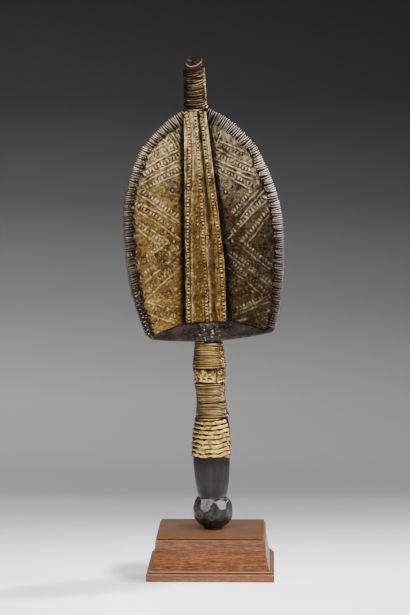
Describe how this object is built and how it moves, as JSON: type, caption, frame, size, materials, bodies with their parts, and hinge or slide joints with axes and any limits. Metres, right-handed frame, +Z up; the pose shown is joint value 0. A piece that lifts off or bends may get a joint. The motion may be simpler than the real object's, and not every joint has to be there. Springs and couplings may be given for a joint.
{
  "type": "kota reliquary figure",
  "caption": "Carved wooden reliquary guardian figure with a hollow shovel-shaped head dressed in embossed brass sheet and wire, standing on a moulded hardwood base.",
  "frame": {"origin": "centre of the stand's underside", "axes": "+Z up, the face looks along -Y, +X is to the viewer's right"},
  "size_m": [0.1543, 0.12, 0.4899],
  "materials": {
    "dark_wood": "dark oiled hardwood, satin, with a glossy black crust on the bulb",
    "embossed_brass": "embossed sheet brass with an old brown patina, brighter on the raised ribs",
    "bright_brass": "rubbed bright sheet brass",
    "wire_brass": "drawn wire, tarnished, bright on the crests",
    "nail_brass": "small domed nails, tarnished",
    "stand_wood": "reddish-brown hardwood with fine straight grain, wax finish"
  },
  "bodies": {
    "root": {"carved_figure": "dark_wood", "left_cheek_sheet": "embossed_brass", "right_cheek_sheet": "embossed_brass", "centre_band": "embossed_brass", "neck_collar": "bright_brass", "shaft_sheet": "bright_brass", "left_rim_wire": "wire_brass", "right_rim_wire": "wire_brass", "knob_wire": "wire_brass", "neck_wire_upper": "wire_brass", "neck_wire_lower": "wire_brass", "band_nail_left": "nail_brass", "band_nail_right": "nail_brass", "top_nail_left": "nail_brass", "top_nail_right": "nail_brass", "shaft_nail_left": "nail_brass", "shaft_nail_right": "nail_brass", "stand": "stand_wood"}
  },
  "joints": []
}
